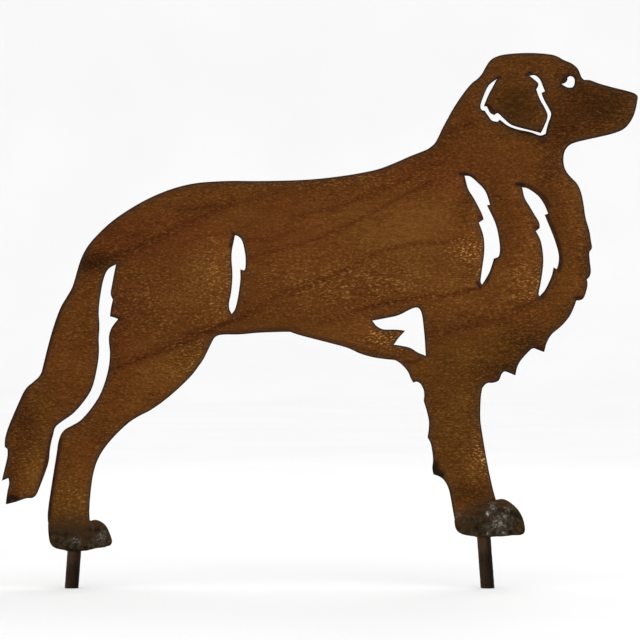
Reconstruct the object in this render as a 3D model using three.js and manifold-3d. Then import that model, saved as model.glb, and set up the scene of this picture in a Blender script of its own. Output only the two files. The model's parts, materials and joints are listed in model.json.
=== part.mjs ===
// A long-haired retriever cut from one steel sheet and beaten into low relief. Slots through the sheet draw
// its ear, shoulder, chest and flank. Two lumps of weld metal make the paws, each on a round stake.
// Millimetres. X runs from tail to nose, Y through the sheet, Z up, with the front face towards -Y.
// The origin is the centre of the front stake's foot, at ground level.
import * as THREE from "three";
import { mergeVertices } from "three/addons/utils/BufferGeometryUtils.js";
import Module from "manifold-3d";

const wasm = await Module();
wasm.setup();

// Driving dimensions
const SHEET_THICKNESS = 2;
const STAKE_DIAMETER = 10;
const PAW_THICKNESS = 13;
const PAW_EDGE_THICKNESS = 2.4; // where a paw meets the leg and at the tip of the toes
const PAW_ROUNDING = 8; // how far in from its edge a paw reaches full thickness
const PAW_TAPER = 16; // how far below the weld it does so, more slowly
const WELD_GAP = 0.35; // clearance between pieces that are welded in the real thing
const CUT_RIDGE = 0.24; // the ridge of melted metal on every cut edge, which widens the sheet by this much

// The beaten form: how far each broad swelling stands towards the viewer, and how far it spreads
const SWELLINGS = {
  haunch: { x: -238, z: 228, reachX: 62, reachZ: 78, rise: 6 },
  ribs: { x: -118, z: 250, reachX: 80, reachZ: 62, rise: 5 },
  shoulder: { x: 2, z: 250, reachX: 70, reachZ: 90, rise: 6 },
  skull: { x: 45, z: 364, reachX: 62, reachZ: 42, rise: 4 },
};
const EDGE_TURN = 3.5; // every cut edge is turned back this far
const EDGE_REACH = 14; // over this width
const LEG_FLAT = 52; // height below which the legs are flat, for the weld
const LEG_FORMED = 112; // height above which they have their full form
const EAR_HINGE = 383; // height at which the ear flap hangs on the head
const EAR_LENGTH = 42;
const EAR_LIFT = 6; // how far its lower end is bent out

// Resolution of the facets
const SHEET_CELL = 9;
const PAW_CELL = 4.5;
const CURVE_STEPS = 2;
const STAKE_SIDES = 24;
const MERGE_DISTANCE = 1e-3; // corners closer than this are one point
const ON_EDGE = 1.25 * CUT_RIDGE; // a point this close to the ear flap's edge, without the ridge, is on it
const CROWN = 0.25; // bulge of an uncut slab, as a share of its thickness
const CUT_DEPTH = 4; // depth of a cut, in cells, so that it passes both faces of a slab

// Where the stakes pass the ground and where they meet the soles
const FRONT_STAKE = { foot: 0, top: -2.9, sole: 39 };
const REAR_STAKE = { foot: -312, top: -309.9, sole: 28.6 };

// Ends of the two welds between the legs and the paws
const FRONT_WELD = { instep: [6, 66.4], heel: [-24.7, 51.5] };
const REAR_WELD = { instep: [-298.5, 50.4], heel: [-329.4, 48.9] };

// Each outline is a list of runs. A run is one smooth curve through its points, from the end of the run
// before it, and runs meet at corners. The last point of the last run is the start of the first.

// Nose, chin and throat, down to the first tuft of the breast
const CHIN_AND_THROAT = [
  [
    [111.2, 360], [108.3, 352], [102.7, 344.9], [94, 341.1], [80, 337.7], [67, 334.7], [60.9, 332],
    [57.6, 327.4], [56.6, 321], [58, 314], [62, 308.3], [66.8, 303.4], [69.9, 296.8], [71.8, 288],
    [73.4, 277.5], [76.3, 267.3], [78.1, 255],
  ],
];

// Tufts of the breast, each run ending in the notch above the next tuft
const BREAST = [
  [[76.2, 251.8]],
  [[76.6, 244.5], [77.3, 237.5], [76.4, 233.8], [74.3, 231.6]],
  [[74.8, 227.5], [73.7, 222.2], [71.3, 216.9], [66.4, 215.7]],
  [[64.5, 210.4], [61.4, 204], [55.5, 196.9], [47.8, 190.2], [44, 183.5], [42.4, 177.2]],
  [[38.5, 178.6], [34.3, 180], [31, 177.8], [24.6, 170.6], [22, 165.5], [20.8, 159.6]],
  [[16.5, 161.5], [12.8, 162.6], [10.4, 160.6], [8.2, 155.8], [4, 154.1], [-0.6, 153.8], [-4, 150.2]],
];

const FRONT_LEG = [
  [[-5.2, 143], [-5.6, 128], [-4.2, 116.3], [-0.3, 93.4], [3.6, 75], FRONT_WELD.instep],
  [FRONT_WELD.heel],
  [[-27.6, 68.3], [-29.2, 75], [-32.2, 80.6], [-36, 83.7], [-40.4, 85.3]],
  [[-41.2, 90], [-40.6, 95], [-41, 101], [-42.4, 108.5], [-44.6, 112.6]],
  [[-43.9, 118.5], [-43.7, 125], [-45.3, 132.6], [-47.6, 140.4]],
  [[-47.2, 144.5], [-47.7, 148.6], [-50.2, 153.4], [-53.2, 154.9], [-55.5, 154.2]],
  [[-57.4, 157.4], [-59.7, 162.6], [-64.5, 168], [-69, 171]],
];

const BELLY = [
  [[-84.6, 173], [-95.7, 176.1], [-106, 180.6], [-125.7, 185.8], [-140.7, 189.8], [-148.2, 192.3]],
  [[-170.7, 191.7], [-185.7, 190.4], [-199, 190.2], [-204.6, 188.2], [-208.1, 182.2], [-213.4, 171.6]],
];

const HIND_LEG = [
  [
    [-222.3, 159.5], [-237, 145.4], [-251.6, 134.4], [-267.8, 125.3], [-282.5, 111.4], [-291.3, 99.2],
    [-295.7, 87.3], [-298, 72], [-298.9, 58], REAR_WELD.instep,
  ],
  [REAR_WELD.heel],
  [
    [-329.7, 55], [-328.5, 66], [-326, 82.5], [-323.3, 100], [-321.5, 111], [-317.3, 118.4],
    [-306.1, 124.9], [-297, 135], [-290, 146.3], [-284.9, 161.5], [-283.1, 175], [-283.9, 187.5],
    [-281.8, 195], [-276.8, 201.7],
  ],
  [[-279.5, 203], [-283, 203.8]],
  [[-282.2, 210], [-280.8, 216.3]],
  [[-282.4, 220.5], [-281.7, 226], [-279.8, 236], [-278.5, 242.8]],
];

// The tail, parted from the hind leg by a long slot that is open below
const TAIL = [
  [
    [-283.4, 240.4], [-286.8, 235.8], [-289.6, 226], [-291.9, 209], [-291.4, 196.5], [-292, 187],
    [-291.8, 177], [-293.2, 165.5], [-297.2, 149.7], [-304.4, 138.5], [-312.4, 130], [-323.6, 121.8],
    [-326.3, 115], [-328.6, 105], [-329.8, 94], [-334, 82], [-338.2, 71], [-341.5, 67.8],
    [-346, 67.5], [-353.3, 65], [-361.2, 62.9],
  ],
  [[-360, 72], [-358.7, 78.5], [-359.4, 82.6]],
  [[-364.2, 80.6]],
  [[-361.8, 91], [-360.1, 99], [-360.2, 104.3]],
  [[-362.2, 105.9]],
];

const RUMP_AND_BACK = [
  [
    [-362, 111.5], [-359.5, 120.5], [-353.7, 134.3], [-347, 148.5], [-341, 154.2], [-335.4, 160],
    [-332.5, 170], [-327.1, 190.7], [-320.3, 210], [-312.2, 223.8], [-308.4, 235.2], [-304.7, 246.9],
    [-297.5, 259.2], [-279.7, 276.3], [-253.2, 292.4], [-226, 302.1], [-198, 305], [-164, 305.1],
    [-125, 306.9], [-84.5, 313.3], [-59.7, 323], [-45.2, 328.8],
  ],
];

const NAPE_AND_HEAD = [
  [
    [-39.1, 333.9], [-33, 345.9], [-23.9, 362.2], [-13.1, 377], [-5.4, 383.7], [1, 394.2],
    [6.2, 398.1], [13.6, 400.1], [27.1, 401.1], [40, 400.8], [50.3, 399.3], [57.2, 395.8],
    [63.5, 393], [67.7, 389], [70.2, 383], [72.2, 380.9],
  ],
  [[77, 380.6], [84.2, 378], [95.3, 375], [105, 372.6], [110.8, 370.6], [112.6, 368.4]],
];

const DOG = [CHIN_AND_THROAT, BREAST, FRONT_LEG, BELLY, HIND_LEG, TAIL, RUMP_AND_BACK, NAPE_AND_HEAD].flat();

// Holes through the sheet

const EYE = [
  [
    [57.9, 379], [59.5, 380.7], [59.8, 382.9], [62, 384.2], [64.6, 383.1], [65.6, 380.4],
    [64.5, 375.9], [61, 375], [57.4, 376.3], [55.2, 378.2],
  ],
];

// The ear flap's own edge, from where it leaves the head behind to where it joins it again in front
const EAR_START = [7.2, 382];
const EAR_EDGE = [
  [[4.8, 377.1], [0.8, 369.7], [-2.7, 361.3]],
  [[-0.5, 361.1], [1.7, 356.6], [4.8, 354.7]],
  [[7.5, 356.2], [11.8, 352.3], [17.6, 347.3], [27.1, 344.3], [35.5, 342.2], [39.3, 341]],
  [[41.6, 345.5], [44.5, 353.3], [42.7, 359.2], [38.7, 366.6], [36.2, 373.9]],
  [[37.9, 377.9], [34.4, 381.4], [31.1, 384.1]],
];

// The slot around the flap: along the head first, and back along the flap
const EAR_SLOT = [
  [[35.6, 384.8], [39.5, 381.4], [41.6, 376.4], [43.2, 372.4]],
  [[40.5, 371.1]],
  [[42.8, 365.5], [46.4, 358.9], [47.7, 354.8], [45.3, 347.6], [43.6, 340.5]],
  [[39.2, 339.1], [32.1, 341.6], [21.8, 343.8], [14.6, 346.7], [9.1, 351]],
  [[7.5, 349.4]],
  [[3.3, 350.2], [0.7, 353.3], [-2.3, 357.8]],
  [[-4.6, 358.4], [-5.6, 361.8], [-3.1, 369.3], [0.8, 377.2], EAR_START],
  ...EAR_EDGE,
];

const SHOULDER_SLOT = [
  [[-13.1, 308.8], [-7.3, 304.1], [-1.5, 297.5], [2, 287.3]],
  [[-0.4, 286.9]],
  [[4.5, 277], [7.4, 268.4], [9.3, 256], [8.4, 248.7], [4.8, 247]],
  [[1.7, 237.4], [-1.3, 231.8], [-4.2, 227.3]],
  [[-5.6, 230.3], [-4.1, 241.7], [-2.8, 253.5], [-3.5, 264], [-6.9, 274]],
  [[-3.3, 276.4]],
  [[-5.1, 281.6], [-10.3, 291.6], [-14.7, 298.8], [-16.6, 305.4], [-17.5, 309.3]],
];

const CHEST_SLOT = [
  [[30.5, 299.6], [38, 294.3], [42.8, 287.5], [45.6, 280.7]],
  [[43, 279.8]],
  [[46.4, 271.7], [50.3, 261.8], [53.4, 251.2], [53.5, 244.2], [52, 239]],
  [[49.6, 240.2]],
  [[48.1, 233.6], [43.4, 223.7], [38.9, 218.6]],
  [[38, 220.9], [39.8, 230.4], [41.5, 245.3], [39.8, 259.2], [35.9, 267.6]],
  [[38.8, 270]],
  [[38.3, 274.2], [34.8, 280.1], [30.9, 286.7], [27.4, 292.7], [25.7, 300.7]],
];

const FLANK_SLOT = [
  [[-186.5, 263.6], [-183.8, 260.3], [-181.8, 252], [-181.2, 244.5], [-182, 238.2], [-185.3, 238.9]],
  [[-185.2, 231], [-186.8, 219], [-189.1, 209.3], [-192, 205.3]],
  [[-193.9, 209.3], [-194, 214.5], [-192.5, 222], [-191.5, 234.8], [-192.2, 250.5], [-189.5, 264.8]],
];

// The hole behind the elbow, with one lock of hair standing into it
const ELBOW_HOLE = [
  [
    [-78.2, 202.3], [-67.1, 204.7], [-57.6, 209.4], [-52.4, 210.5], [-49.8, 207.4], [-48.4, 201.2],
    [-46.8, 185.4], [-46.2, 174],
  ],
  [[-52.4, 176.4], [-58.1, 179.9], [-65.6, 181.6], [-70.6, 182.3]],
  [[-67.1, 187.5], [-62.1, 192.9]],
  [[-69.2, 193.6], [-78.2, 193.8], [-83.6, 196.5], [-86.7, 200.6]],
];

const HOLES = [EYE, EAR_SLOT, SHOULDER_SLOT, CHEST_SLOT, FLANK_SLOT, ELBOW_HOLE];

// Paws: along the weld and over the toes, then the flat sole, then up the heel to the weld again
const dropped = ([x, z]) => [x, z - CUT_RIDGE - WELD_GAP];
const FRONT_PAW_TOP = [
  [dropped(FRONT_WELD.instep)],
  [[11.5, 66.6], [17, 63.9], [22.3, 59], [26.1, 52.6], [27.8, 45], [27.2, 41.3], [24.6, 40]],
];
const FRONT_PAW_SOLE = [[[10.8, 39.6], [4, FRONT_STAKE.sole]], [[-10, FRONT_STAKE.sole]]];
const FRONT_PAW_HEEL = [[[-17, 40], [-21.6, 42], [-24, 45.5], dropped(FRONT_WELD.heel)]];

const REAR_PAW_TOP = [
  [dropped(REAR_WELD.instep)],
  [[-294.5, 51], [-290.3, 49.7], [-286.4, 46.5], [-283.8, 41.3], [-281.8, 35], [-283.4, 32]],
];
const REAR_PAW_SOLE = [[[-295.2, 29.8], [-303, REAR_STAKE.sole]], [[-317, REAR_STAKE.sole]]];
const REAR_PAW_HEEL = [[[-324.6, 30.4], [-328, 34.3], [-329.2, 42], dropped(REAR_WELD.heel)]];

// Points along runs of curves, from the given start.
function pointsAlong(start, runs) {
  const path = new THREE.Path().moveTo(...start);
  for (const run of runs) {
    if (run.length === 1) path.lineTo(...run[0]);
    else path.splineThru(run.map((point) => new THREE.Vector2(...point)));
  }
  return path.getPoints(CURVE_STEPS);
}

const lastPoint = (runs) => runs.at(-1).at(-1);
const closedOutline = (runs) => pointsAlong(lastPoint(runs), runs);

// A closed outline with every point moved outward, or inward if the distance is negative. It runs clockwise.
function grown(outline, distance) {
  const corners = outline.slice(0, -1);
  const moved = corners.map((corner, i) => {
    const arriving = corner.clone().sub(corners.at(i - 1)).normalize();
    const leaving = corners[(i + 1) % corners.length].clone().sub(corner).normalize();
    const along = arriving.add(leaving).normalize();
    return new THREE.Vector2(corner.x - along.y * distance, corner.y + along.x * distance);
  });
  return [...moved, moved[0].clone()];
}

function solidOf(geometry) {
  geometry.deleteAttribute("normal");
  geometry.deleteAttribute("uv");
  const merged = mergeVertices(geometry, MERGE_DISTANCE);
  return new wasm.Manifold(
    new wasm.Mesh({
      numProp: 3,
      vertProperties: merged.attributes.position.array,
      triVerts: new Uint32Array(merged.index.array),
    }),
  );
}

function geometryOf(solid) {
  const { vertProperties, triVerts } = solid.getMesh();
  const geometry = new THREE.BufferGeometry();
  geometry.setAttribute("position", new THREE.BufferAttribute(vertProperties, 3));
  geometry.setIndex(new THREE.BufferAttribute(triVerts, 1));
  geometry.computeVertexNormals();
  return geometry;
}

// Distance from a point to the nearest of several polylines.
function distanceTo(polylines, point) {
  let nearest = Infinity;
  const along = new THREE.Vector2();
  const offset = new THREE.Vector2();
  for (const line of polylines) {
    for (let i = 1; i < line.length; i += 1) {
      along.subVectors(line[i], line[i - 1]);
      offset.subVectors(point, line[i - 1]);
      const share = THREE.MathUtils.clamp(offset.dot(along) / along.lengthSq(), 0, 1);
      nearest = Math.min(nearest, offset.addScaledVector(along, -share).length());
    }
  }
  return nearest;
}

// A plate cut to an outline, with a grid of points on both faces. depthAt gives the Y of each point from its
// place on the face, its distance to the nearest of the given edges, and its side: -1 front, 1 back.
function formedPlate(outline, holes, edges, cell, depthAt) {
  const shape = new THREE.Shape(outline);
  shape.holes = holes.map((hole) => new THREE.Path(hole.toReversed()));
  const box = new THREE.Box2().setFromPoints(outline).expandByScalar(cell);
  const size = box.getSize(new THREE.Vector2());
  const centre = box.getCenter(new THREE.Vector2());
  const columns = Math.round(size.x / cell);
  const rows = Math.round(size.y / cell);
  const slab = new THREE.BoxGeometry(size.x, cell, size.y, columns, 1, rows);
  crown(slab, size);
  slab.translate(centre.x, 0, centre.y);
  const depth = CUT_DEPTH * cell;
  const cutter = new THREE.ExtrudeGeometry(shape, { depth, bevelEnabled: false });
  cutter.rotateX(Math.PI / 2).translate(0, depth / 2, 0);
  const plate = geometryOf(solidOf(cutter).intersect(solidOf(slab)));
  const places = plate.attributes.position;
  const place = new THREE.Vector2();
  for (let i = 0; i < places.count; i += 1) {
    place.set(places.getX(i), places.getZ(i));
    places.setY(i, depthAt(place, distanceTo(edges, place), Math.sign(places.getY(i))));
  }
  plate.computeVertexNormals();
  return plate;
}

// A slight crown on both faces of a slab keeps its grid of points through the cut.
function crown(slab, size) {
  const places = slab.attributes.position;
  for (let i = 0; i < places.count; i += 1) {
    const across = (2 * places.getX(i)) / size.x;
    const up = (2 * places.getZ(i)) / size.y;
    const bulge = CROWN * (2 - across * across - up * up);
    places.setY(i, places.getY(i) * (1 + bulge));
  }
}

// True inside a polygon, by counting the edges crossed on the way right.
function isInside(polygon, point) {
  let inside = false;
  polygon.forEach((a, i) => {
    const b = polygon[(i + 1) % polygon.length];
    const spans = a.y > point.y !== b.y > point.y;
    if (spans && point.x < a.x + ((b.x - a.x) * (point.y - a.y)) / (b.y - a.y)) inside = !inside;
  });
  return inside;
}

// How far the sheet stands towards the viewer at a place on it.
function reliefAt(place, toEdge, ear) {
  let swell = 0;
  for (const { x, z, reachX, reachZ, rise } of Object.values(SWELLINGS)) {
    swell += rise * Math.exp(-(((place.x - x) / reachX) ** 2) - ((place.y - z) / reachZ) ** 2);
  }
  const turned = EDGE_TURN * (1 - THREE.MathUtils.smoothstep(toEdge, 0, EDGE_REACH));
  const formed = THREE.MathUtils.smoothstep(place.y, LEG_FLAT, LEG_FORMED);
  const hang = THREE.MathUtils.clamp((EAR_HINGE - place.y) / EAR_LENGTH, 0, 1);
  const onEar = isInside(ear, place) || distanceTo([ear], place) < ON_EDGE;
  const lift = onEar ? EAR_LIFT * hang * hang : 0;
  return (swell - turned) * formed + lift;
}

function dogSheet() {
  const outline = grown(closedOutline(DOG), CUT_RIDGE);
  const holes = HOLES.map((hole) => grown(closedOutline(hole), -CUT_RIDGE));
  const ear = pointsAlong(EAR_START, EAR_EDGE);
  return formedPlate(
    outline,
    holes,
    [outline, ...holes],
    SHEET_CELL,
    (place, toEdge, side) => (side * SHEET_THICKNESS) / 2 - reliefAt(place, toEdge, ear),
  );
}

// A paw is thin along its top and toes, and rounds up to its full thickness above a flat sole.
function paw(top, sole, heel) {
  const outline = closedOutline([...top, ...sole, ...heel]);
  const weld = pointsAlong(lastPoint(heel), top.slice(0, 1));
  const rounded = [pointsAlong(lastPoint(heel), top), pointsAlong(lastPoint(sole), heel)];
  return formedPlate(outline, [], rounded, PAW_CELL, (place, toEdge, side) => {
    const inward = 1 - Math.min(toEdge / PAW_ROUNDING, 1);
    const round = Math.sqrt(1 - inward * inward);
    const taper = THREE.MathUtils.smoothstep(distanceTo([weld], place), 0, PAW_TAPER);
    const thickness = THREE.MathUtils.lerp(PAW_EDGE_THICKNESS, PAW_THICKNESS, round * taper);
    return (side * thickness) / 2;
  });
}

// A round rod that leans along X, cut level at the ground and under the sole.
function stake({ foot, top, sole }) {
  const height = sole - WELD_GAP;
  const rod = new THREE.CylinderGeometry(STAKE_DIAMETER / 2, STAKE_DIAMETER / 2, height, STAKE_SIDES);
  rod.rotateX(Math.PI / 2).translate(foot, 0, height / 2);
  const places = rod.attributes.position;
  for (let i = 0; i < places.count; i += 1) {
    places.setX(i, places.getX(i) + (top - foot) * (places.getZ(i) / height));
  }
  return rod;
}

const RUSTED_STEEL = { color: 0x5d3617, roughness: 0.5, metalness: 0.6 };
const WELD_METAL = { color: 0x2e2820, roughness: 0.55, metalness: 0.7 };
const BLACK_ROD = { color: 0x231a14, roughness: 0.6, metalness: 0.6 };

const dog = new THREE.Group();

function addPiece(name, geometry, finish) {
  const mesh = new THREE.Mesh(geometry, new THREE.MeshStandardMaterial(finish));
  mesh.name = name;
  dog.add(mesh);
}

addPiece("dog_sheet", dogSheet(), RUSTED_STEEL);
addPiece("front_paw", paw(FRONT_PAW_TOP, FRONT_PAW_SOLE, FRONT_PAW_HEEL), WELD_METAL);
addPiece("rear_paw", paw(REAR_PAW_TOP, REAR_PAW_SOLE, REAR_PAW_HEEL), WELD_METAL);
addPiece("front_stake", stake(FRONT_STAKE), BLACK_ROD);
addPiece("rear_stake", stake(REAR_STAKE), BLACK_ROD);

export default dog;
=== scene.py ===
import json

import bmesh
import bpy
import numpy as np
from mathutils import Matrix, Vector, noise
from mathutils.bvhtree import BVHTree
from mathutils.geometry import delaunay_2d_cdt
from mathutils.kdtree import KDTree


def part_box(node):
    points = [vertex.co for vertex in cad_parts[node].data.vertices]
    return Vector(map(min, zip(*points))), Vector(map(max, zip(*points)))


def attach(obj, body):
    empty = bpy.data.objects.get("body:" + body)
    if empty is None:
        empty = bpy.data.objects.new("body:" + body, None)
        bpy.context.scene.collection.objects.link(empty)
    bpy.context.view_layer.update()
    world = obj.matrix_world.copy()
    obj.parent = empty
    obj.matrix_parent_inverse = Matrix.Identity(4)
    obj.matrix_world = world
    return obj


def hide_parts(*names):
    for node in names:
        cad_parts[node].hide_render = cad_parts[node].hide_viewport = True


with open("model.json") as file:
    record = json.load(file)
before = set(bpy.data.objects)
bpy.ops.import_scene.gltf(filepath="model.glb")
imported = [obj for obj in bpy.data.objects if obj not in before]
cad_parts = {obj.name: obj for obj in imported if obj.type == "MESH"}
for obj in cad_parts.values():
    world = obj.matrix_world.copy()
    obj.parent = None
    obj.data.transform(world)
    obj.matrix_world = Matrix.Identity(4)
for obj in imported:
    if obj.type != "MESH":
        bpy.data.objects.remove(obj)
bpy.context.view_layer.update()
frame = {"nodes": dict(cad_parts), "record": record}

# The photograph on the plane of the sheet
PIXEL = 0.00075
ORIGIN_PIXEL = (487.6, 588)
PHOTO_SIDE = 640
PHOTO_CENTRE = (320, 320)

# The sheet
THICKNESS = 0.002
MERGE_DISTANCE = 1e-6  # corners closer than this are one point
SAME_PLACE = 1e-9  # the same in the triangulation
RIM_STEP = 0.0013  # spacing of the points along the cut edges
GRID_STEP = 0.0016  # spacing of the points on the faces
GRID_CLEARANCE = 0.6 * GRID_STEP  # between the rounded edge and the grid
RAY_START = 1.0  # how far in front of the sheet the grid's rays start
EDGE_ROUNDING = 0.0004
CORNER_TURN = 0.7  # a sharper turn of an edge, in radians, stays a corner
STRAIGHT_TURN = 0.01  # a point with a flatter turn is left out
CROWDED = 0.0004  # so is a point this close to the one before it
CUT_EDGE_TILT = 0.02  # a facet that faces forward less than this is no part of the front face
RELIEF_SMOOTHING = 24  # rounds of evening out
BEATEN_DEPTH = 0.00025
BEATEN_SIZE = 0.013

# The paws
VOXEL = 0.0007
SOFTENING = 2  # rounds of smoothing after the voxels
PAW_FLAT = 0.0013  # within this of the sheet's middle the skin has no lumps
PAW_LUMPY = 3 * PAW_FLAT  # from here on they are at their full height
SKIN = 0.0003  # weld metal over the CAD paw
LUMP_DEPTH = 0.0006
LUMP_SIZE = 0.0055
LUMP_FALLOFF = 0.8  # how much weaker the finer lumps are
FILLET_RADIUS = 0.0016
FILLET_LUMPS = 10
WELD_RADIUS = 0.0012
WELD_LUMPS = 48
WELD_SPAN = (0.04, 0.96)  # where the bead starts and ends, as shares of the weld's length
BALL_FINENESS = 2

# The stakes
ROD_SCALE = 0.0002  # over the CAD bar
ROD_SIDES = 40
ROD_RINGS = 36
ROD_PITTING = 0.00012
ROD_PIT_SIZE = 0.002
ROD_PIT_FALLOFF = 1.0
ROD_BROWN_SIDE = Vector((-0.6, -0.8, 0))  # the direction of the browner side
ROD_BROWN_FACING = (0.3, 1.0)  # how much it faces that way where the brown starts and where it is full
ROD_TOP_BROWN = 0.6
ROD_TOP_SPAN = (0.5, 0.9)  # shares of the height over which the upper end turns browner

# Layers of the noise on the paws and stakes, and how much finer each one is than the last
NOISE_LAYERS = 3
NOISE_STEP = 2.0

# Broad marks in the patina and in the painted light and shade, in pixels of the photograph: place, reach
# across and up, and strength.
# Where the brown is lighter or, with a negative strength, darker: partly painted light and shade (lighter
# across the middle of the body, darker on the ear and towards the turned-back edges), partly darker patina
# on the head
PAINTED_LIGHT_AND_PATINA = {
    "ribs": ((330, 250), (130, 55), 0.14),
    "shoulder": ((420, 225), (50, 28), 0.2),
    "upper arm": ((442, 292), (40, 26), 0.13),
    "chest": ((506, 275), (18, 30), 0.12),
    "flank": ((205, 265), (30, 38), 0.11),
    "haunch": ((168, 298), (40, 24), 0.07),
    "belly": ((345, 334), (32, 14), 0.18),
    "thigh": ((165, 372), (45, 24), 0.2),
    "lower thigh": ((130, 409), (20, 10), 0.12),
    "shank": ((82, 485), (14, 36), 0.12),
    "middle of the tail": ((64, 362), (20, 20), 0.14),
    "end of the tail": ((34, 475), (14, 20), 0.16),
    "back of the tail": ((24, 424), (14, 32), -0.18),
    "tip of the tail": ((11, 470), (8, 24), -0.14),
    "root of the tail": ((92, 264), (22, 13), -0.26),
    "beside the tail slot": ((112, 330), (9, 30), -0.12),
    "muzzle": ((608, 108), (38, 27), -0.35),
    "brow": ((569, 78), (14, 18), -0.26),
    "cheek": ((560, 140), (24, 26), -0.18),
    "throat": ((552, 172), (14, 14), -0.14),
    "ear": ((517, 107), (24, 26), -0.27),
    "behind the shoulder slot": ((465, 208), (9, 22), -0.2),
    "behind the foot of the shoulder slot": ((470, 275), (8, 14), -0.1),
    "breast": ((588, 255), (9, 34), -0.23),
    "breast fringe": ((571, 312), (14, 14), -0.2),
    "chest fringe": ((534, 345), (30, 22), -0.24),
    "elbow fringe": ((502, 372), (20, 13), -0.26),
    "front of the leg": ((475, 408), (9, 36), -0.14),
    "pastern": ((470, 493), (32, 11), -0.2),
}
# Where it leans to olive, or with a negative strength to red
OLIVE = {
    "front leg": ((456, 430), (28, 70), 0.8),
    "chest fringe": ((515, 352), (46, 24), 0.5),
    "back of the ear": ((505, 102), (20, 26), 0.4),
    "front of the ear": ((526, 108), (20, 26), 0.3),
    "shank": ((70, 510), (26, 24), 0.8),
    "thigh": ((192, 368), (30, 24), 0.5),
    "end of the tail": ((38, 468), (14, 36), 0.5),
    "nose": ((622, 112), (20, 18), 0.4),
    "breast": ((580, 200), (10, 40), 0.5),
    "shoulder": ((400, 232), (60, 22), 0.2),
    "flank": ((206, 272), (24, 36), 0.3),
    "rump": ((150, 236), (60, 22), -0.9),
    "beside the tail slot": ((118, 330), (20, 50), -0.6),
    "withers": ((430, 176), (60, 18), -0.6),
    "ribs": ((290, 235), (60, 40), -0.4),
    "neck": ((490, 156), (40, 16), -0.4),
}
# Where the wrinkles show gold: flecks in the lacquer, partly painted glints of light
GOLD_FLECKS_AND_GLINTS = {
    "flank": ((212, 285), (22, 40), 0.5),
    "haunch": ((160, 300), (60, 40), 0.2),
    "shoulder": ((467, 250), (17, 12), 1.3),
    "end of the shoulder slot": ((478, 270), (4, 16), 0.8),
    "end of the chest slot": ((537, 280), (4, 16), 0.8),
    "lower ribs": ((350, 285), (90, 22), 0.4),
    "chest": ((525, 285), (16, 22), 0.6),
    "elbow hole": ((386, 337), (20, 13), 1.2),
    "thigh": ((190, 360), (22, 20), 0.6),
    "front of the leg": ((481, 458), (8, 18), 1.2),
    "shank": ((75, 495), (24, 18), 0.35),
    "end of the tail": ((33, 470), (14, 24), 0.25),
    "back": ((330, 180), (90, 6), 0.4),
}
# Dark lines like the figure in wood: the pixels each one runs through, its half width and its strength
FIGURE = {
    "shadow at the tail": ([(83, 262), (117, 256), (150, 242)], 8, 0.36),
    "shadow on the rump": ([(150, 242), (187, 227), (203, 217), (233, 203)], 6, 0.25),
    "smudge low on the rump": ([(130, 236), (143, 234)], 5, 0.3),
    "smudge high on the rump": ([(182, 210), (213, 206)], 4, 0.35),
    "shadow on the thigh": ([(115, 368), (143, 357), (180, 340), (207, 330)], 5.5, 0.35),
    "shadow on the ribs": ([(277, 297), (300, 287), (327, 280), (377, 253)], 4.5, 0.2),
    "shadow on the chest": ([(430, 333), (460, 327), (493, 320), (520, 310), (537, 300)], 6, 0.25),
    "smudge on the nape": ([(447, 133), (473, 123)], 5, 0.3),
    "rump": ([(110, 257), (146, 243), (180, 226), (215, 211), (238, 202)], 3.2, 0.38),
    "loin": ([(238, 202), (265, 197), (290, 189), (320, 182), (350, 176)], 2.6, 0.22),
    "behind the flank slot": ([(180, 246), (205, 237), (230, 232)], 2.2, 0.3),
    "before the flank slot": ([(248, 240), (275, 237), (300, 229)], 2.2, 0.28),
    "ribs to withers": ([(250, 257), (280, 250), (322, 237), (355, 222), (400, 198), (430, 183)], 2.3, 0.36),
    "back": ([(290, 218), (335, 208), (375, 192), (410, 178)], 2.6, 0.28),
    "thigh": ([(110, 370), (140, 359), (185, 343), (215, 328), (252, 313)], 3, 0.58),
    "lower ribs": ([(252, 313), (275, 296), (305, 287), (320, 282), (352, 268)], 3.2, 0.26),
    "shoulder": ([(340, 272), (378, 252), (410, 244), (445, 243), (462, 238)], 2.4, 0.42),
    "belly": ([(318, 324), (340, 318), (356, 311)], 2.4, 0.26),
    "above the elbow": ([(356, 311), (370, 307), (410, 298), (445, 296), (478, 289)], 2.4, 0.52),
    "before the elbow": ([(427, 338), (455, 330), (478, 325)], 2.4, 0.34),
}
# Where the lacquer lies smooth, given in the same way
SLEEK = {
    "rump": ([(125, 262), (165, 248), (205, 230), (260, 214), (300, 205)], 9, 0.8),
    "before the flank slot": ([(255, 262), (252, 300)], 9, 0.7),
    "belly": ([(225, 325), (290, 321), (335, 331)], 7, 0.8),
    "thigh": ([(122, 352), (170, 338), (215, 318)], 8, 0.6),
    "ribs": ([(255, 250), (330, 228), (400, 190)], 9, 0.4),
    "before the elbow": ([(432, 350), (465, 340)], 8, 0.7),
    "muzzle": ([(575, 108), (620, 105)], 16, 0.5),
    "ear": ([(512, 85), (522, 118)], 16, 0.7),
    "neck": ([(460, 150), (520, 145)], 14, 0.3),
}
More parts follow.
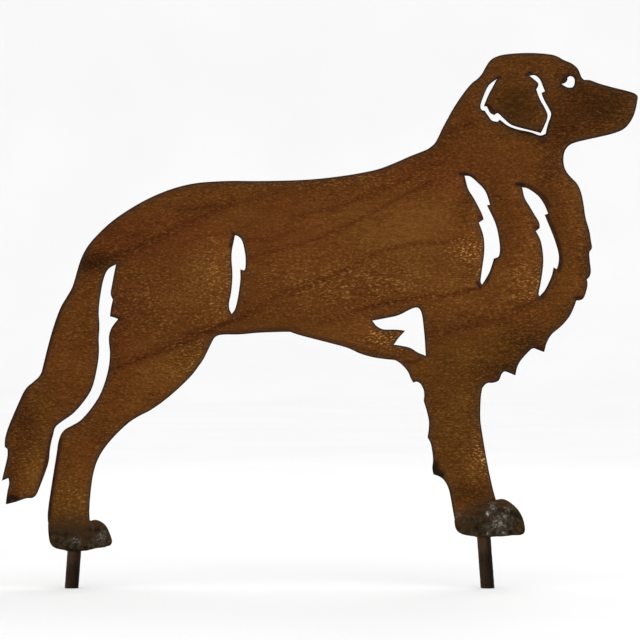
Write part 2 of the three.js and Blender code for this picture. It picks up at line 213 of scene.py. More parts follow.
# Parts of the cut edges that are blackened further in, given in the same way: partly burnt by the torch,
# partly painted shade along turned-back edges and under the ear's flap
BURNT_AND_SHADED = {
    "corner of the eye": ([(562, 84), (564, 79), (569, 75.5)], 2, 1.0),
    "back root of the ear": ([(496, 78.5), (500, 77)], 1.6, 0.9),
    "front root of the ear": ([(526, 75.5), (528.5, 73), (532, 73)], 1.6, 0.9),
    "front of the ear": ([(536, 87), (537, 92)], 1.8, 0.8),
    "back of the ear": ([(485, 105.5), (489, 106), (494, 113), (499, 112)], 1.8, 0.8),
    "lobe of the ear": ([(510, 125.5), (524, 129), (537, 132), (542, 129.5)], 1.8, 0.75),
    "top of the shoulder slot": ([(460, 174), (466.5, 174.5), (475, 179)], 1.9, 0.9),
    "back of the shoulder slot": ([(464, 176), (465.5, 186)], 1.8, 0.7),
    "barb of the shoulder slot": ([(478.5, 217), (482.5, 219)], 2.4, 0.6),
    "front of the shoulder slot": ([(500.5, 251), (494, 259.5), (486.5, 282)], 1.8, 0.7),
    "foot of the shoulder slot": ([(477, 282), (480, 287.5)], 2, 0.8),
    "top of the chest slot": ([(516.5, 184.5), (523, 185)], 2.2, 1.0),
    "crescent on the chest slot": ([(523, 184.5), (531, 187), (539.5, 192.5)], 2.4, 0.5),
    "end of the crescent": ([(539.5, 192.5), (545.5, 199), (549, 206)], 2.6, 0.6),
    "barb of the chest slot": ([(534.5, 227), (538.5, 228)], 2.4, 0.65),
    "front of the chest slot": (
        [(546.5, 214.5), (554, 230), (559.5, 247), (561.5, 261), (559, 271)], 2.2, 0.66
    ),
    "foot of the chest slot": ([(553.5, 272), (542.5, 298)], 1.8, 0.7),
    "below the chest slot": ([(538, 299), (527, 304.5), (516, 308)], 2.4, 0.45),
    "breast fringe": ([(576, 297.5), (584, 298)], 2, 0.8),
    "chest fringe": ([(536, 347), (545, 350)], 2, 0.7),
    "flank slot": ([(234, 234), (230.5, 247)], 1.8, 0.9),
    "barb of the tail slot": ([(112, 317), (118, 319)], 2.5, 0.9),
    "belly": ([(205, 333), (240, 331.5), (290, 328.5)], 1.8, 0.45),
    "brisket": ([(308, 335.5), (345, 343), (370, 351), (400, 358)], 1.8, 0.4),
    "below the elbow hole": ([(405, 361), (413, 363), (421, 359)], 2.2, 0.5),
    "tuft behind the front leg": ([(434, 465), (435, 472), (440, 475)], 5, 1.1),
    "back of the tail": ([(71.5, 289), (61, 308), (52, 334), (45, 361), (41, 374)], 2.6, 0.62),
    "end of the tail's back": ([(25.5, 390), (16.5, 409), (8.5, 428)], 2.2, 0.6),
    "front of the tail": ([(51, 435.5), (45.5, 464.5), (38, 493.5)], 2, 0.7),
    "tip of the tail": ([(7, 502), (11, 497), (17, 499)], 3.2, 1.0),
    "back of the shank": ([(59.5, 440), (57, 455), (53.5, 478), (50, 500), (49, 517)], 3.4, 0.7),
}
# The welds at the legs' ends, in the same pixels, from heel to instep
WELDS = {"front": ((454.7, 519.3), (495.6, 499.5)), "rear": ((48.4, 522.8), (89.6, 520.8))}
# How far above and below them the brown turns black, in pixels, and how far aside, in widths of the leg
SCORCH_ABOVE = 15
SCORCH_BELOW = 11
SCORCH_ASIDE = 2
# Weld metal rubbed bright, with painted highlights on the beads and domes of the paws: place, reach and
# strength
BRIGHT_METAL_AND_HIGHLIGHTS = {
    "bead on the front weld": ((488, 513), 2.0, 3.0),
    "front paw": ((498, 522), 7.0, 0.8),
    "front instep": ((493, 507), 4.0, 0.7),
    "middle of the front paw": ((503, 517), 4.0, 0.7),
    "top of the front paw": ((507, 508), 4.0, 0.5),
    "bead on the front toe": ((503, 532), 1.6, 1.6),
    "bead on the front sole": ((488, 533), 1.5, 1.2),
    "front heel": ((458, 515), 3.0, 0.5),
    "rear paw": ((77, 540), 4.0, 0.4),
    "rear toe": ((102, 537), 5.0, 0.45),
}
# The black rim and the duller margin along the cut edges: partly oxide and dross, partly painted shade where
# the edges turn back
RIM_WIDTH = 0.0026
MARGIN_WIDTH = 0.0065
# Half the width over which a weld hides the rim, in pixels
WELD_HIDES = 4
# The back face is plainer: it has this share of the front's marks, and all of these
BACK_MARKS = 0.4
SAME_ON_BACK = ("scorch", "rim", "dross_and_shade_margin")


def at_pixel(pixel):
    """X and Z on the sheet, in metres, of a pixel of the photograph."""
    across, down = pixel
    return np.array([(across - ORIGIN_PIXEL[0]) * PIXEL, (ORIGIN_PIXEL[1] - down) * PIXEL])


def smooth_step(value, low, high):
    """0 up to the low value, 1 from the high one, with a smooth rise between."""
    share = np.clip((value - low) / (high - low), 0, 1)
    return share * share * (3 - 2 * share)


# Patina, and painted light and shade, on the faces


def face_marks(points, edge_distance):
    """The patina and the painted light and shade at each point of the face, as named values for the
    material.
    """
    places = points[:, [0, 2]]
    scorch = np.max([scorched(places, weld) for weld in WELDS.values()], axis=0)
    bright_and_highlit = np.max(each(patch, BRIGHT_METAL_AND_HIGHLIGHTS, places), axis=0) * (points[:, 1] < 0)
    # darker along the cut edges: partly oxide and dross, partly painted shade where the edges turn back
    rim = 1 - smooth_step(edge_distance, 0, RIM_WIDTH)
    dross_and_shade_margin = 1 - smooth_step(edge_distance, 0, MARGIN_WIDTH)
    for weld in WELDS.values():
        rim *= 1 - band(places, weld, WELD_HIDES)
    return {
        "painted_light_and_patina": np.sum(each(patch, PAINTED_LIGHT_AND_PATINA, places), axis=0),
        "olive": np.sum(each(patch, OLIVE, places), axis=0),
        "figure": np.max(each(band, FIGURE, places), axis=0),
        "sleek": np.max(each(band, SLEEK, places), axis=0),
        "burnt_and_shaded": np.max(each(band, BURNT_AND_SHADED, places), axis=0),
        "scorch": scorch,
        "gold_and_glints": np.max(each(patch, GOLD_FLECKS_AND_GLINTS, places), axis=0),
        "bright_and_highlit": bright_and_highlit,
        "rim": rim,
        "dross_and_shade_margin": dross_and_shade_margin,
    }


def each(form, marks, places):
    """The strength at the places of each of the named marks."""
    return [strength * form(places, where, size) for where, size, strength in marks.values()]


def patch(places, centre, reach):
    """1 at a pixel of the photograph, falling off smoothly over its reach."""
    offset = (places - at_pixel(centre)) / (np.array(reach) * PIXEL)
    return np.exp(-np.sum(offset**2, axis=1))


def band(places, line, width):
    """1 along a line of pixels, falling off over its half width to all sides."""
    nearest = np.full(len(places), np.inf)
    for start, end in zip(line, line[1:]):
        start, end = at_pixel(start), at_pixel(end)
        along = end - start
        share = np.clip((places - start) @ along / (along @ along), 0, 1)
        nearest = np.minimum(nearest, np.linalg.norm(places - start - np.outer(share, along), axis=1))
    return np.exp(-((nearest / (width * PIXEL)) ** 2))


def scorched(places, weld):
    """1 below the weld at the end of a leg, 0 above it, on that leg only."""
    heel, instep = map(at_pixel, weld)
    share = (places[:, 0] - heel[0]) / (instep[0] - heel[0])
    height = places[:, 1] - (heel[1] + np.clip(share, 0, 1) * (instep[1] - heel[1]))
    below = 1 - smooth_step(height, -SCORCH_BELOW * PIXEL, SCORCH_ABOVE * PIXEL)
    return below * (np.abs(share - 0.5) < SCORCH_ASIDE)


def on_both_faces(marks, rim_count):
    """The marks of the front, then of the plainer back, then of the cut edge's two rings."""
    everywhere = {}
    for name, front in marks.items():
        back = front if name in SAME_ON_BACK else BACK_MARKS * front
        everywhere[name] = np.concatenate([front, back, front[:rim_count], back[:rim_count]])
    return everywhere


# What every piece needs


def welded(node):
    """The CAD node's mesh with its split corners joined again."""
    solid = bmesh.new()
    solid.from_mesh(frame["nodes"][node].data)
    bmesh.ops.remove_doubles(solid, verts=solid.verts, dist=MERGE_DISTANCE)
    solid.normal_update()
    return solid


def add_piece(name, points, faces, material, node, marks):
    """A finished mesh that stands for a CAD node and rides on the part's one body."""
    mesh = bpy.data.meshes.new(name)
    mesh.from_pydata([tuple(point) for point in points], [], [tuple(map(int, face)) for face in faces])
    mesh.shade_smooth()
    for mark, values in marks.items():
        attribute = mesh.attributes.new(mark, "FLOAT", "POINT")
        attribute.data.foreach_set("value", np.asarray(values, np.float32))
    mesh.materials.append(material)
    piece = bpy.data.objects.new(name, mesh)
    bpy.context.scene.collection.objects.link(piece)
    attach(piece, "root")
    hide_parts(node)
    return piece


# Making the sheet


def front_rims(solid):
    """Closed loops of points where the front face meets the cut edge."""
    solid.faces.index_update()
    faces_front = {face.index for face in solid.faces if face.normal.y < -CUT_EDGE_TILT}
    following = {}
    for edge in solid.edges:
        front = [face for face in edge.link_faces if face.index in faces_front]
        if len(front) == 1:
            loop = next(corner for corner in front[0].loops if corner.edge == edge)
            following[loop.vert] = loop.link_loop_next.vert
    rims = []
    while following:
        vert = next(iter(following))
        rim = []
        while vert in following:
            rim.append(tuple(vert.co))
            vert = following.pop(vert)
        rims.append(np.array(rim))
    return rims


def turn_at(rim):
    """The angle through which a loop turns at each of its points, seen from the front."""
    before = rim - np.roll(rim, 1, axis=0)
    after = np.roll(rim, -1, axis=0) - rim
    cross = before[:, 0] * after[:, 2] - before[:, 2] * after[:, 0]
    dot = before[:, 0] * after[:, 0] + before[:, 2] * after[:, 2]
    return np.arctan2(cross, dot)


def thinned(rim):
    """The loop without the points of its straight stretches and those that crowd the point before them."""
    bent = rim[np.abs(turn_at(rim)) > STRAIGHT_TURN]
    apart = np.linalg.norm(bent - np.roll(bent, 1, axis=0), axis=1)
    return bent[apart > CROWDED]


def smoothed_rim(rim):
    """A closer loop on smooth curves through the points, with the true corners kept."""
    corner = np.abs(turn_at(rim)) > CORNER_TURN
    tangent = np.roll(rim, -1, axis=0) - np.roll(rim, 1, axis=0)
    tangent /= np.linalg.norm(tangent, axis=1)[:, None]
    points = []
    for i, start in enumerate(rim):
        j = (i + 1) % len(rim)
        chord = rim[j] - start
        length = np.linalg.norm(chord)
        leave = chord if corner[i] else tangent[i] * length
        arrive = chord if corner[j] else tangent[j] * length
        steps = max(1, round(length / RIM_STEP))
        for t in np.arange(steps) / steps:
            points.append(
                (2 * t**3 - 3 * t**2 + 1) * start
                + (t**3 - 2 * t**2 + t) * leave
                + (3 * t**2 - 2 * t**3) * rim[j]
                + (t**3 - t**2) * arrive
            )
    return np.array(points)


def inward(rim):
    """The direction into the metal at each point. The metal is on the left of every loop."""
    along = np.roll(rim, -1, axis=0) - np.roll(rim, 1, axis=0)
    side = np.stack([-along[:, 2], np.zeros(len(rim)), along[:, 0]], axis=1)
    return side / np.linalg.norm(side, axis=1)[:, None]


def nearest_rim(rims):
    """A function for the distance from a place on the face to the nearest cut edge."""
    points = np.concatenate(rims)
    tree = KDTree(len(points))
    for i, (x, _, z) in enumerate(points):
        tree.insert((x, 0, z), i)
    tree.balance()
    return lambda x, z: tree.find((x, 0, z))[2]


def face_grid(solid, distance):
    """Points in a close triangular grid on the front face, clear of its edges."""
    front = BVHTree.FromBMesh(solid)
    low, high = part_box("dog_sheet")
    backwards = Vector((0, 1, 0))
    row_step = GRID_STEP * np.sqrt(3) / 2
    rows = int((high.z - low.z) / row_step)
    columns = int((high.x - low.x) / GRID_STEP)
    points = []
    for row in range(rows):
        z = low.z + row * row_step
        for column in range(columns):
            x = low.x + (column + 0.5 * (row % 2)) * GRID_STEP
            hit = front.ray_cast(Vector((x, low.y - RAY_START, z)), backwards)[0]
            if hit and distance(x, z) > EDGE_ROUNDING + GRID_CLEARANCE:
                points.append(tuple(hit))
    return np.array(points)


def triangulated(rims, grid):
    """Points and triangles of a face with these rims and this grid inside them."""
    points = np.concatenate([*rims, grid])
    loops = []
    start = 0
    for rim in rims:
        loops.append(list(range(start, start + len(rim))))
        start += len(rim)
    flat = [Vector((x, z)) for x, _, z in points]
    inside_with_holes = 2
    _, _, triangles, sources, _, _ = delaunay_2d_cdt(flat, [], loops, inside_with_holes, SAME_PLACE)
    order = np.array([source[0] for source in sources])
    return points, order[np.array(triangles)]


def relaxed(points, triangles, fixed):
    """Y of the points after evening out the facets of the CAD relief, with the first points fixed."""
    pairs = np.concatenate([triangles[:, [0, 1]], triangles[:, [1, 2]], triangles[:, [2, 0]]])
    pairs = np.concatenate([pairs, pairs[:, ::-1]])
    count = np.bincount(pairs[:, 0], minlength=len(points))
    depth = points[:, 1].copy()
    for _ in range(RELIEF_SMOOTHING):
        mean = np.bincount(pairs[:, 0], weights=depth[pairs[:, 1]], minlength=len(points)) / count
        depth[fixed:] = mean[fixed:]
    return depth


def beaten(points):
    """Shallow, uneven marks of the hammer."""
    marks = [noise.noise(Vector(point) / BEATEN_SIZE) for point in points]
    return BEATEN_DEPTH * np.array(marks)


def edge_bands(rims, rings):
    """Quads from each ring of points to the next, along every rim. A ring is its first point's number."""
    quads = []
    start = 0
    for rim in rims:
        here = start + np.arange(len(rim))
        after = np.roll(here, -1)
        for near, far in zip(rings, rings[1:]):
            quads += np.stack([near + after, near + here, far + here, far + after], axis=1).tolist()
        start += len(rim)
    return quads


def dog_sheet(material):
    """The cut and beaten sheet: a front face, the same face behind it and a rounded cut edge between."""
    solid = welded("dog_sheet")
    rims = [smoothed_rim(thinned(rim)) for rim in front_rims(solid)]
    distance = nearest_rim(rims)
    face_rims = [rim + EDGE_ROUNDING * inward(rim) for rim in rims]
    points, triangles = triangulated(face_rims, face_grid(solid, distance))
    solid.free()
    rim_count = sum(map(len, rims))
    points[:, 1] = relaxed(points, triangles, rim_count) + beaten(points)
    edge_distance = np.array([distance(x, z) for x, _, z in points])
    marks = on_both_faces(face_marks(points, edge_distance), rim_count)

    through = np.array([0, THICKNESS, 0])
    rounding = np.array([0, EDGE_ROUNDING, 0])
    front_edge = np.concatenate(rims)
    front_edge[:, 1] = points[:rim_count, 1] + EDGE_ROUNDING
    back_edge = front_edge + through - 2 * rounding
    everything = np.concatenate([points, points + through, front_edge, back_edge])
    count = len(points)
    rings = [0, 2 * count, 2 * count + rim_count, count]
    faces = [*triangles, *(triangles[:, ::-1] + count), *edge_bands(rims, rings)]
    return add_piece("rusted_dog", everything, faces, material, "dog_sheet", marks)


# Making the paws and stakes


def stake_line(side):
    """The middle of a stake at the ground and at the sole above it, and its radius with the scale on it."""
    mounts = {mount["name"]: mount["pos_m"] for mount in frame["record"]["mounts"]}
    foot = Vector(mounts[f"{side}_stake_foot"])
    low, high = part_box(f"{side}_stake")
    sole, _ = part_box(f"{side}_paw")
    top = Vector((low.x + high.x - foot.x, 0, sole.z))
    return foot, top, (high.y - low.y) / 2 + ROD_SCALE


def add_ball(solid, place, radius):
    """A ball of weld metal, still apart from the rest."""
    there = Matrix.Translation(place)
    bmesh.ops.create_icosphere(solid, subdivisions=BALL_FINENESS, radius=radius, matrix=there)


def add_weld_bead(solid, side):
    """A row of balls along the weld between the leg and the paw."""
    heel, instep = map(at_pixel, WELDS[side])
    for share in np.linspace(*WELD_SPAN, WELD_LUMPS):
        x, z = heel + share * (instep - heel)
        add_ball(solid, (x, 0, z), WELD_RADIUS)


def add_fillet(solid, side):
    """A ring of balls where the stake meets the sole."""
    _, top, radius = stake_line(side)
    for angle in np.linspace(0, 2 * np.pi, FILLET_LUMPS, endpoint=False):
        around = Vector((radius * np.cos(angle), radius * np.sin(angle), FILLET_RADIUS / 2))
        add_ball(solid, top + around, FILLET_RADIUS)


def paw(side, material):
    """A lump of weld metal: the CAD paw, the bead of its weld and its stake's fillet, run together."""
    node = f"{side}_paw"
    solid = welded(node)
    add_weld_bead(solid, side)
    add_fillet(solid, side)
    points, normals, faces = run_together(solid)
    places = [Vector(point) / LUMP_SIZE for point in points]
    lumps = [noise.fractal(place, LUMP_FALLOFF, NOISE_STEP, NOISE_LAYERS) for place in places]
    thick = smooth_step(np.abs(points[:, 1]), PAW_FLAT, PAW_LUMPY)
    points += normals * (SKIN + LUMP_DEPTH * thick * np.array(lumps))[:, None]
    no_edge_near = np.full(len(points), MARGIN_WIDTH)
    marks = face_marks(points, no_edge_near)
    return add_piece(f"{node}_weld", points, faces, material, node, marks)


def run_together(solid):
    """Points, normals and faces of one even skin over overlapping solids."""
    mesh = bpy.data.meshes.new("rough")
    solid.to_mesh(mesh)
    solid.free()
    lump = bpy.data.objects.new("rough", mesh)
    bpy.context.scene.collection.objects.link(lump)
    remesh = lump.modifiers.new("skin", "REMESH")
    remesh.mode = "VOXEL"
    remesh.voxel_size = VOXEL
    soften = lump.modifiers.new("soften", "SMOOTH")
    soften.iterations = SOFTENING
    skin = lump.evaluated_get(bpy.context.evaluated_depsgraph_get()).to_mesh()
    points = np.array([v.co for v in skin.vertices])
    normals = np.array([v.normal for v in skin.vertices])
    faces = [tuple(face.vertices) for face in skin.polygons]
    bpy.data.objects.remove(lump)
    return points, normals, faces


def stake(side, material):
    """A round bar with a scaled, slightly pitted skin, cut flat at the ground."""
    foot, top, radius = stake_line(side)
    points = []
    brown = []
    for ring in range(ROD_RINGS + 1):
        share = ring / ROD_RINGS
        middle = foot.lerp(top, share)
        for turn in np.arange(ROD_SIDES) * 2 * np.pi / ROD_SIDES:
            out = Vector((np.cos(turn), np.sin(turn), 0))
            spot = middle + radius * out
            pit = noise.fractal(spot / ROD_PIT_SIZE, ROD_PIT_FALLOFF, NOISE_STEP, NOISE_LAYERS)
            points.append(spot + ROD_PITTING * pit * out)
            side_brown = smooth_step(out.dot(ROD_BROWN_SIDE), *ROD_BROWN_FACING)
            brown.append(side_brown + ROD_TOP_BROWN * smooth_step(share, *ROD_TOP_SPAN))
    faces = []
    for ring in range(ROD_RINGS):
        for i in range(ROD_SIDES):
            j = (i + 1) % ROD_SIDES
            low, high = ring * ROD_SIDES, (ring + 1) * ROD_SIDES
            faces.append((low + i, low + j, high + j, high + i))
    faces.append(tuple(range(ROD_SIDES))[::-1])
    faces.append(tuple(ROD_RINGS * ROD_SIDES + i for i in range(ROD_SIDES)))
    return add_piece(f"{side}_rod", points, faces, material, f"{side}_stake", {"brown": brown})


# Materials


# The mix node lists its sockets by kind. These are the two colours that go in and the one that comes out.
MIX_FIRST = 6
MIX_SECOND = 7
MIX_RESULT = 2


class Surface:
    """A material with short ways to add the nodes used here."""

    def __init__(self, name):
        self.material = bpy.data.materials.new(name)
        self.material.use_nodes = True
        self.tree = self.material.node_tree
        self.shader = self.tree.nodes["Principled BSDF"]
        self.place = self.node("ShaderNodeTexCoord").outputs["Object"]

    def node(self, kind, inputs=None, **settings):
        made = self.tree.nodes.new(kind)
        for name, value in settings.items():
            setattr(made, name, value)
        for name, value in (inputs or {}).items():
            self.feed(made.inputs[name], value)
        return made

    def feed(self, socket, value):
        if isinstance(value, bpy.types.NodeSocket):
            self.tree.links.new(value, socket)
        else:
            socket.default_value = value

    def mark(self, name):
        """One of the values that the mesh keeps at its points."""
        return self.node("ShaderNodeAttribute", attribute_name=name).outputs["Fac"]

    def noise(self, scale, detail=2.0, stretch=(1, 1, 1), turn=0.0, distortion=0.0):
        """Noise that is fixed to the object, drawn out and turned in the plane of the sheet if asked."""
        mapped = self.node(
            "ShaderNodeMapping", {"Vector": self.place, "Rotation": (0, turn, 0), "Scale": stretch}
        )
        inputs = {
            "Vector": mapped.outputs["Vector"],
            "Scale": scale,
            "Detail": detail,
            "Distortion": distortion,
        }
        return self.node("ShaderNodeTexNoise", inputs).outputs["Fac"]

    def maths(self, operation, first, second):
        made = self.node("ShaderNodeMath", operation=operation)
        self.feed(made.inputs[0], first)
        self.feed(made.inputs[1], second)
        return made.outputs["Value"]

    def product(self, first, second):
        return self.maths("MULTIPLY", first, second)

    def total(self, *weighted, plus=0.0):
        """The sum of values, each times its weight, plus a fixed number."""
        result = plus
        for value, weight in weighted:
            result = self.maths("ADD", self.product(value, weight), result)
        return result

    def spread(self, value, low, high, new_low=0.0, new_high=1.0):
        """The value stretched from one range to another, and held at its ends."""
        inputs = {
            "Value": value,
            "From Min": low,
            "From Max": high,
            "To Min": new_low,
            "To Max": new_high,
        }
        return self.node("ShaderNodeMapRange", inputs).outputs["Result"]

    def ramp(self, value, stops):
        """A colour for the value, between stops that are each a position and a colour."""
        made = self.node("ShaderNodeValToRGB", {"Fac": value})
        points = made.color_ramp.elements
        while len(points) < len(stops):
            points.new(0.5)
        for point, (position, colour) in zip(points, stops):
            point.position = position
            point.color = (*colour, 1)
        return made.outputs["Color"]

    def mix(self, share, first, second):
        """A colour between two others: the second's share goes from 0 to 1."""
        made = self.node("ShaderNodeMix", data_type="RGBA")
        self.feed(made.inputs["Factor"], share)
        for socket, value in ((MIX_FIRST, first), (MIX_SECOND, second)):
            self.feed(made.inputs[socket], value if isinstance(value, bpy.types.NodeSocket) else (*value, 1))
        return made.outputs[MIX_RESULT]

    def bump(self, height, distance, strength):
        inputs = {"Height": height, "Distance": distance, "Strength": strength}
        return self.node("ShaderNodeBump", inputs).outputs["Normal"]

    def finish(self, **inputs):
        """The material, with these values on its shader."""
        for name, value in inputs.items():
            self.feed(self.shader.inputs[name.replace("_", " ")], value)
        return self.material


def linear(red, green, blue):
    """A colour as the shader wants it, from the 0 to 255 of the sRGB curve."""
    share = np.array([red, green, blue]) / 255
    return tuple(np.where(share <= 0.04045, share / 12.92, ((share + 0.055) / 1.055) ** 2.4))


RED_RUST = [linear(43, 22, 9), linear(66, 34, 13), linear(92, 49, 20), linear(109, 61, 26)]
OLIVE_RUST = [linear(40, 26, 10), linear(63, 39, 14), linear(89, 56, 20), linear(113, 75, 30)]
RUST_STOPS = [0.0, 0.25, 0.5, 0.8]
GOLD_AND_GLINT = linear(214, 162, 92)
DULL_AND_SHADED_EDGE = linear(50, 47, 42)
OXIDE_AND_EDGE_SHADE = linear(32, 27, 22)
OXIDE_RED = linear(56, 24, 13)
SCALE_BLACK = linear(15, 12, 9)
SCALE_OLIVE = linear(45, 38, 27)
SCALE_GREY = linear(68, 60, 47)
SCALE_BROWN = linear(60, 42, 24)
BARE_METAL_AND_HIGHLIGHT = linear(200, 194, 182)
ROD_DARK = linear(13, 9, 5)
ROD_BROWN = linear(42, 28, 16)
ROD_WORN = linear(62, 45, 30)
SHEEN = linear(225, 190, 155)
FLOOR_PALE = (0.95, 0.95, 0.95)
FLOOR_WHITE = (0.98, 0.98, 0.98)

# Noise in the sheet and the paws: cells to a metre, and layers of detail. Some is drawn out along the grain.
GRAIN_TURN = 0.3
TEXTURES = {
    "mottle": {"scale": 26, "detail": 4},
    "grain": {"scale": 70, "detail": 3, "stretch": (1, 1, 7), "turn": GRAIN_TURN, "distortion": 0.4},
    "streak": {"scale": 110, "detail": 3, "stretch": (1, 1, 9), "turn": GRAIN_TURN / 2, "distortion": 0.3},
    "wrinkle": {"scale": 420, "detail": 2, "stretch": (1, 1, 2.5), "turn": GRAIN_TURN, "distortion": 0.2},
    "speck": {"scale": 1000, "detail": 1},
    "lumps": {"scale": 150, "detail": 4},
    "crust": {"scale": 330, "detail": 3},
    "stain": {"scale": 90, "detail": 3},
    "scratch": {"scale": 620, "detail": 3},
}


def lacquered_rust(surface, texture):
    """The faces' colour: red and olive browns under wrinkled lacquer, with painted light and shade, dark
    figure, a duller margin that is partly painted shade, and gold flecks that are partly painted glints.
    """
    mottle = texture["mottle"]
    grain = texture["grain"]
    wrinkle = texture["wrinkle"]
    gold_and_glints = surface.mark("gold_and_glints")
    figure = surface.mark("figure")
    broken = surface.total((grain, 0.5), (mottle, 0.5))
    lines = surface.product(figure, surface.spread(broken, low=0.38, high=0.62, new_low=0.15, new_high=0.7))
    rough = surface.total((gold_and_glints, 0.1), (surface.mark("sleek"), -0.85), plus=1.05)
    wrinkled = surface.total((wrinkle, 0.78), (texture["speck"], 0.25), plus=-0.515)
    pits = surface.product(wrinkled, rough)
    uneven = surface.total((mottle, 0.25), (grain, 0.35), (texture["streak"], 0.3), (pits, 1.0))
    # the broad marks add painted light and shade, and darker patina, to the tone
    tone = surface.total((surface.mark("painted_light_and_patina"), 1.0), (lines, -1.0), (uneven, 1.0), plus=0.04)
    reds = surface.ramp(tone, list(zip(RUST_STOPS, RED_RUST)))
    olives = surface.ramp(tone, list(zip(RUST_STOPS, OLIVE_RUST)))
    olive = surface.total((surface.mark("olive"), 0.7), (mottle, 0.6), (figure, -0.8), plus=0.12)
    brown = surface.mix(olive, reds, olives)
    # a duller margin along the cut edges, partly dross and partly painted shade
    dulled_and_shaded = surface.mix(surface.product(surface.mark("dross_and_shade_margin"), 0.34), brown, DULL_AND_SHADED_EDGE)
    # gold flecks in the lacquer, partly painted glints of light
    rubbed_and_glinting = surface.total((gold_and_glints, 0.6), plus=0.07)
    flecks_and_glints = surface.product(surface.spread(wrinkle, low=0.56, high=0.72), rubbed_and_glinting)
    return surface.mix(flecks_and_glints, dulled_and_shaded, GOLD_AND_GLINT)


def cut_edges(surface, texture, face):
    """The face's colour with black along its cut edges, partly oxide and partly painted shade of the
    turned-back edges, and red and black further in where the torch has burnt and where shade is painted
    along some edges.
    """
    wrinkle = texture["wrinkle"]
    # black along the cut edges and further in: oxide and torch burn, and painted shade along turned-back
    # edges
    edge = surface.total((surface.mark("rim"), 1.0), (wrinkle, 0.5))
    burnt_and_shaded = surface.total((surface.mark("burnt_and_shaded"), 1.0), (wrinkle, 0.7), plus=-0.35)
    reddened = surface.mix(surface.spread(burnt_and_shaded, low=0.15, high=0.75), face, OXIDE_RED)
    ragged = surface.spread(edge, low=0.65, high=1.4)
    charred_and_shaded = surface.spread(burnt_and_shaded, low=0.4, high=1.0)
    return surface.mix(surface.maths("MAXIMUM", ragged, charred_and_shaded), reddened, OXIDE_AND_EDGE_SHADE)


def weld_scale(surface, texture):
    """The colour of weld metal: black, olive and grey scale, stained brown and rubbed bright in places, with
    painted highlights among the bright spots.
    """
    crusted = surface.total((texture["lumps"], 0.45), (texture["crust"], 0.65))
    scale = surface.ramp(crusted, [(0.42, SCALE_BLACK), (0.56, SCALE_OLIVE), (0.7, SCALE_GREY)])
    stained = surface.spread(texture["stain"], low=0.48, high=0.66, new_high=0.7)
    rusting = surface.total((stained, 1.0), (surface.mark("olive"), 1.5))
    rusty = surface.mix(rusting, scale, SCALE_BROWN)
    scratched = surface.spread(texture["scratch"], low=0.48, high=0.66)
    # rubbed bright weld metal and painted highlights
    rubbed_and_glinting = surface.product(surface.mark("bright_and_highlit"), surface.total((scratched, 0.5), plus=0.06))
    return surface.mix(rubbed_and_glinting, rusty, BARE_METAL_AND_HIGHLIGHT)


def frayed(surface, texture, scorch):
    """How far the rust has turned to weld scale, with a frayed border."""
    border = surface.product(scorch, surface.total((scorch, -1.0), plus=1.0))
    threads = surface.total((texture["lumps"], 0.6), (texture["crust"], 0.6), plus=-0.6)
    return surface.total((scorch, 1.0), (surface.product(border, threads), 7.0))


def rust_and_scale(name):
    """Rust under lacquer, which turns to weld scale at the ends of the legs and on the paws."""
    surface = Surface(name)
    texture = {kind: surface.noise(**settings) for kind, settings in TEXTURES.items()}
    speck = texture["speck"]
    scorch = surface.mark("scorch")
    rust = cut_edges(surface, texture, lacquered_rust(surface, texture))
    metal = weld_scale(surface, texture)
    lumpy = surface.product(surface.total((texture["lumps"], 1.0), (texture["crust"], 0.7)), scorch)
    relief = surface.total((texture["wrinkle"], 1.0), (speck, 0.4), (texture["grain"], 0.4), (lumpy, 1.5))
    return surface.finish(
        Base_Color=surface.mix(frayed(surface, texture, scorch), rust, metal),
        Metallic=0.85,
        Specular_IOR_Level=0.1,
        Specular_Tint=(*SHEEN, 1),
        Roughness=surface.spread(speck, low=0.3, high=0.7, new_low=0.56, new_high=0.42),
        Normal=surface.bump(relief, distance=0.0006, strength=0.4),
    )


def black_bar():
    """Rolled bar under dark brown scale."""
    surface = Surface("black_bar")
    streak = surface.noise(scale=220, detail=3, stretch=(1, 1, 0.25))
    speck = surface.noise(scale=900, detail=2)
    brown = surface.total((surface.mark("brown"), 0.4), (streak, 0.5), (speck, 0.3))
    return surface.finish(
        Base_Color=surface.ramp(brown, [(0.38, ROD_DARK), (0.75, ROD_BROWN), (1.0, ROD_WORN)]),
        Metallic=0.2,
        Specular_IOR_Level=0.05,
        Roughness=surface.spread(speck, low=0.3, high=0.7, new_low=0.65, new_high=0.45),
        Normal=surface.bump(surface.total((streak, 0.6), (speck, 0.6)), distance=0.0004, strength=0.5),
    )


def studio_floor():
    """Almost white, with faint clouds."""
    surface = Surface("studio_floor")
    clouds = surface.noise(scale=3, detail=2)
    return surface.finish(
        Base_Color=surface.ramp(clouds, [(0.3, FLOOR_PALE), (0.7, FLOOR_WHITE)]),
        Roughness=0.9,
    )


# Studio

LENS = 200  # millimetres, so long that the view has almost no perspective
SKY_COLOUR = (1, 1, 1, 1)
SKY_STRENGTH = 1.0
SOFTBOXES = {
    "key": {"place": (1.1, -1.4, 0.5), "size": 1.2, "power": 5},
    "back": {"place": (0.3, 1.4, 1.5), "size": 0.9, "power": 3},
}
FLOOR_HALF_WIDTH = 12.0
FLOOR_FRONT = -8.0
FLOOR_BACK = 6.0
FLOOR_BEND = 1.0  # the radius in which it curves up
BEND_POINTS = 17
BACKDROP_TOP = 6.0


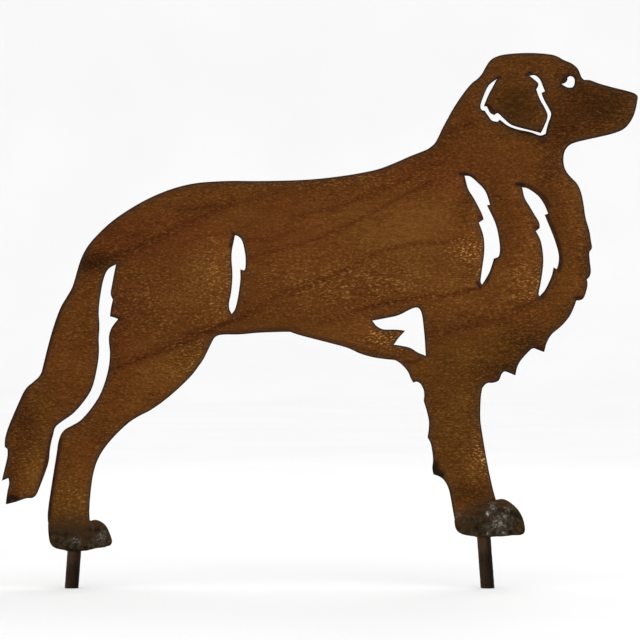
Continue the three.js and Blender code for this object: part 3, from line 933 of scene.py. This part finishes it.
def sweep():
    """A pale floor that curves up into a backdrop far behind the object."""
    profile = [(FLOOR_FRONT, 0.0)]
    for turn in np.linspace(0, np.pi / 2, BEND_POINTS):
        profile.append((FLOOR_BACK + FLOOR_BEND * np.sin(turn), FLOOR_BEND * (1 - np.cos(turn))))
    profile.append((FLOOR_BACK + FLOOR_BEND, BACKDROP_TOP))
    points = [(x, y, z) for y, z in profile for x in (-FLOOR_HALF_WIDTH, FLOOR_HALF_WIDTH)]
    faces = [(2 * i, 2 * i + 1, 2 * i + 3, 2 * i + 2) for i in range(len(profile) - 1)]
    mesh = bpy.data.meshes.new("floor")
    mesh.from_pydata(points, [], faces)
    mesh.shade_smooth()
    mesh.materials.append(studio_floor())
    floor = bpy.data.objects.new("floor", mesh)
    bpy.context.scene.collection.objects.link(floor)


def softbox(name, target, place, size, power):
    """A round lamp that faces the target and isn't seen itself."""
    light = bpy.data.lights.new(name, "AREA")
    light.shape = "DISK"
    light.size = size
    light.energy = power
    lamp = bpy.data.objects.new(name, light)
    lamp.location = place
    lamp.visible_camera = False
    lamp.rotation_euler = (Vector(target) - Vector(place)).to_track_quat("-Z", "Y").to_euler()
    bpy.context.scene.collection.objects.link(lamp)


def studio_light(target):
    """Even white light from all around, and two soft lamps."""
    world = bpy.data.worlds.new("studio")
    world.use_nodes = True
    sky = world.node_tree.nodes["Background"]
    sky.inputs["Color"].default_value = SKY_COLOUR
    sky.inputs["Strength"].default_value = SKY_STRENGTH
    bpy.context.scene.world = world
    for name, settings in SOFTBOXES.items():
        softbox(name, target, **settings)


def photo_camera():
    """A camera that sees what the photograph shows. Returns the point that it looks at."""
    camera = bpy.data.cameras.new("photo")
    camera.lens = LENS
    x, z = at_pixel(PHOTO_CENTRE)
    away = PHOTO_SIDE * PIXEL * LENS / camera.sensor_width
    view = bpy.data.objects.new("photo", camera)
    view.location = (x, -away, z)
    view.rotation_euler = (np.pi / 2, 0, 0)
    bpy.context.scene.collection.objects.link(view)
    bpy.context.scene.camera = view
    return Vector((x, 0, z))


# The whole scene

bpy.context.scene.view_settings.view_transform = "Standard"
bar = black_bar()
dog_sheet(rust_and_scale("rusted_steel"))
weld = rust_and_scale("weld_metal")
paw("front", weld)
paw("rear", weld)
stake("front", bar)
stake("rear", bar)
sweep()
studio_light(photo_camera())
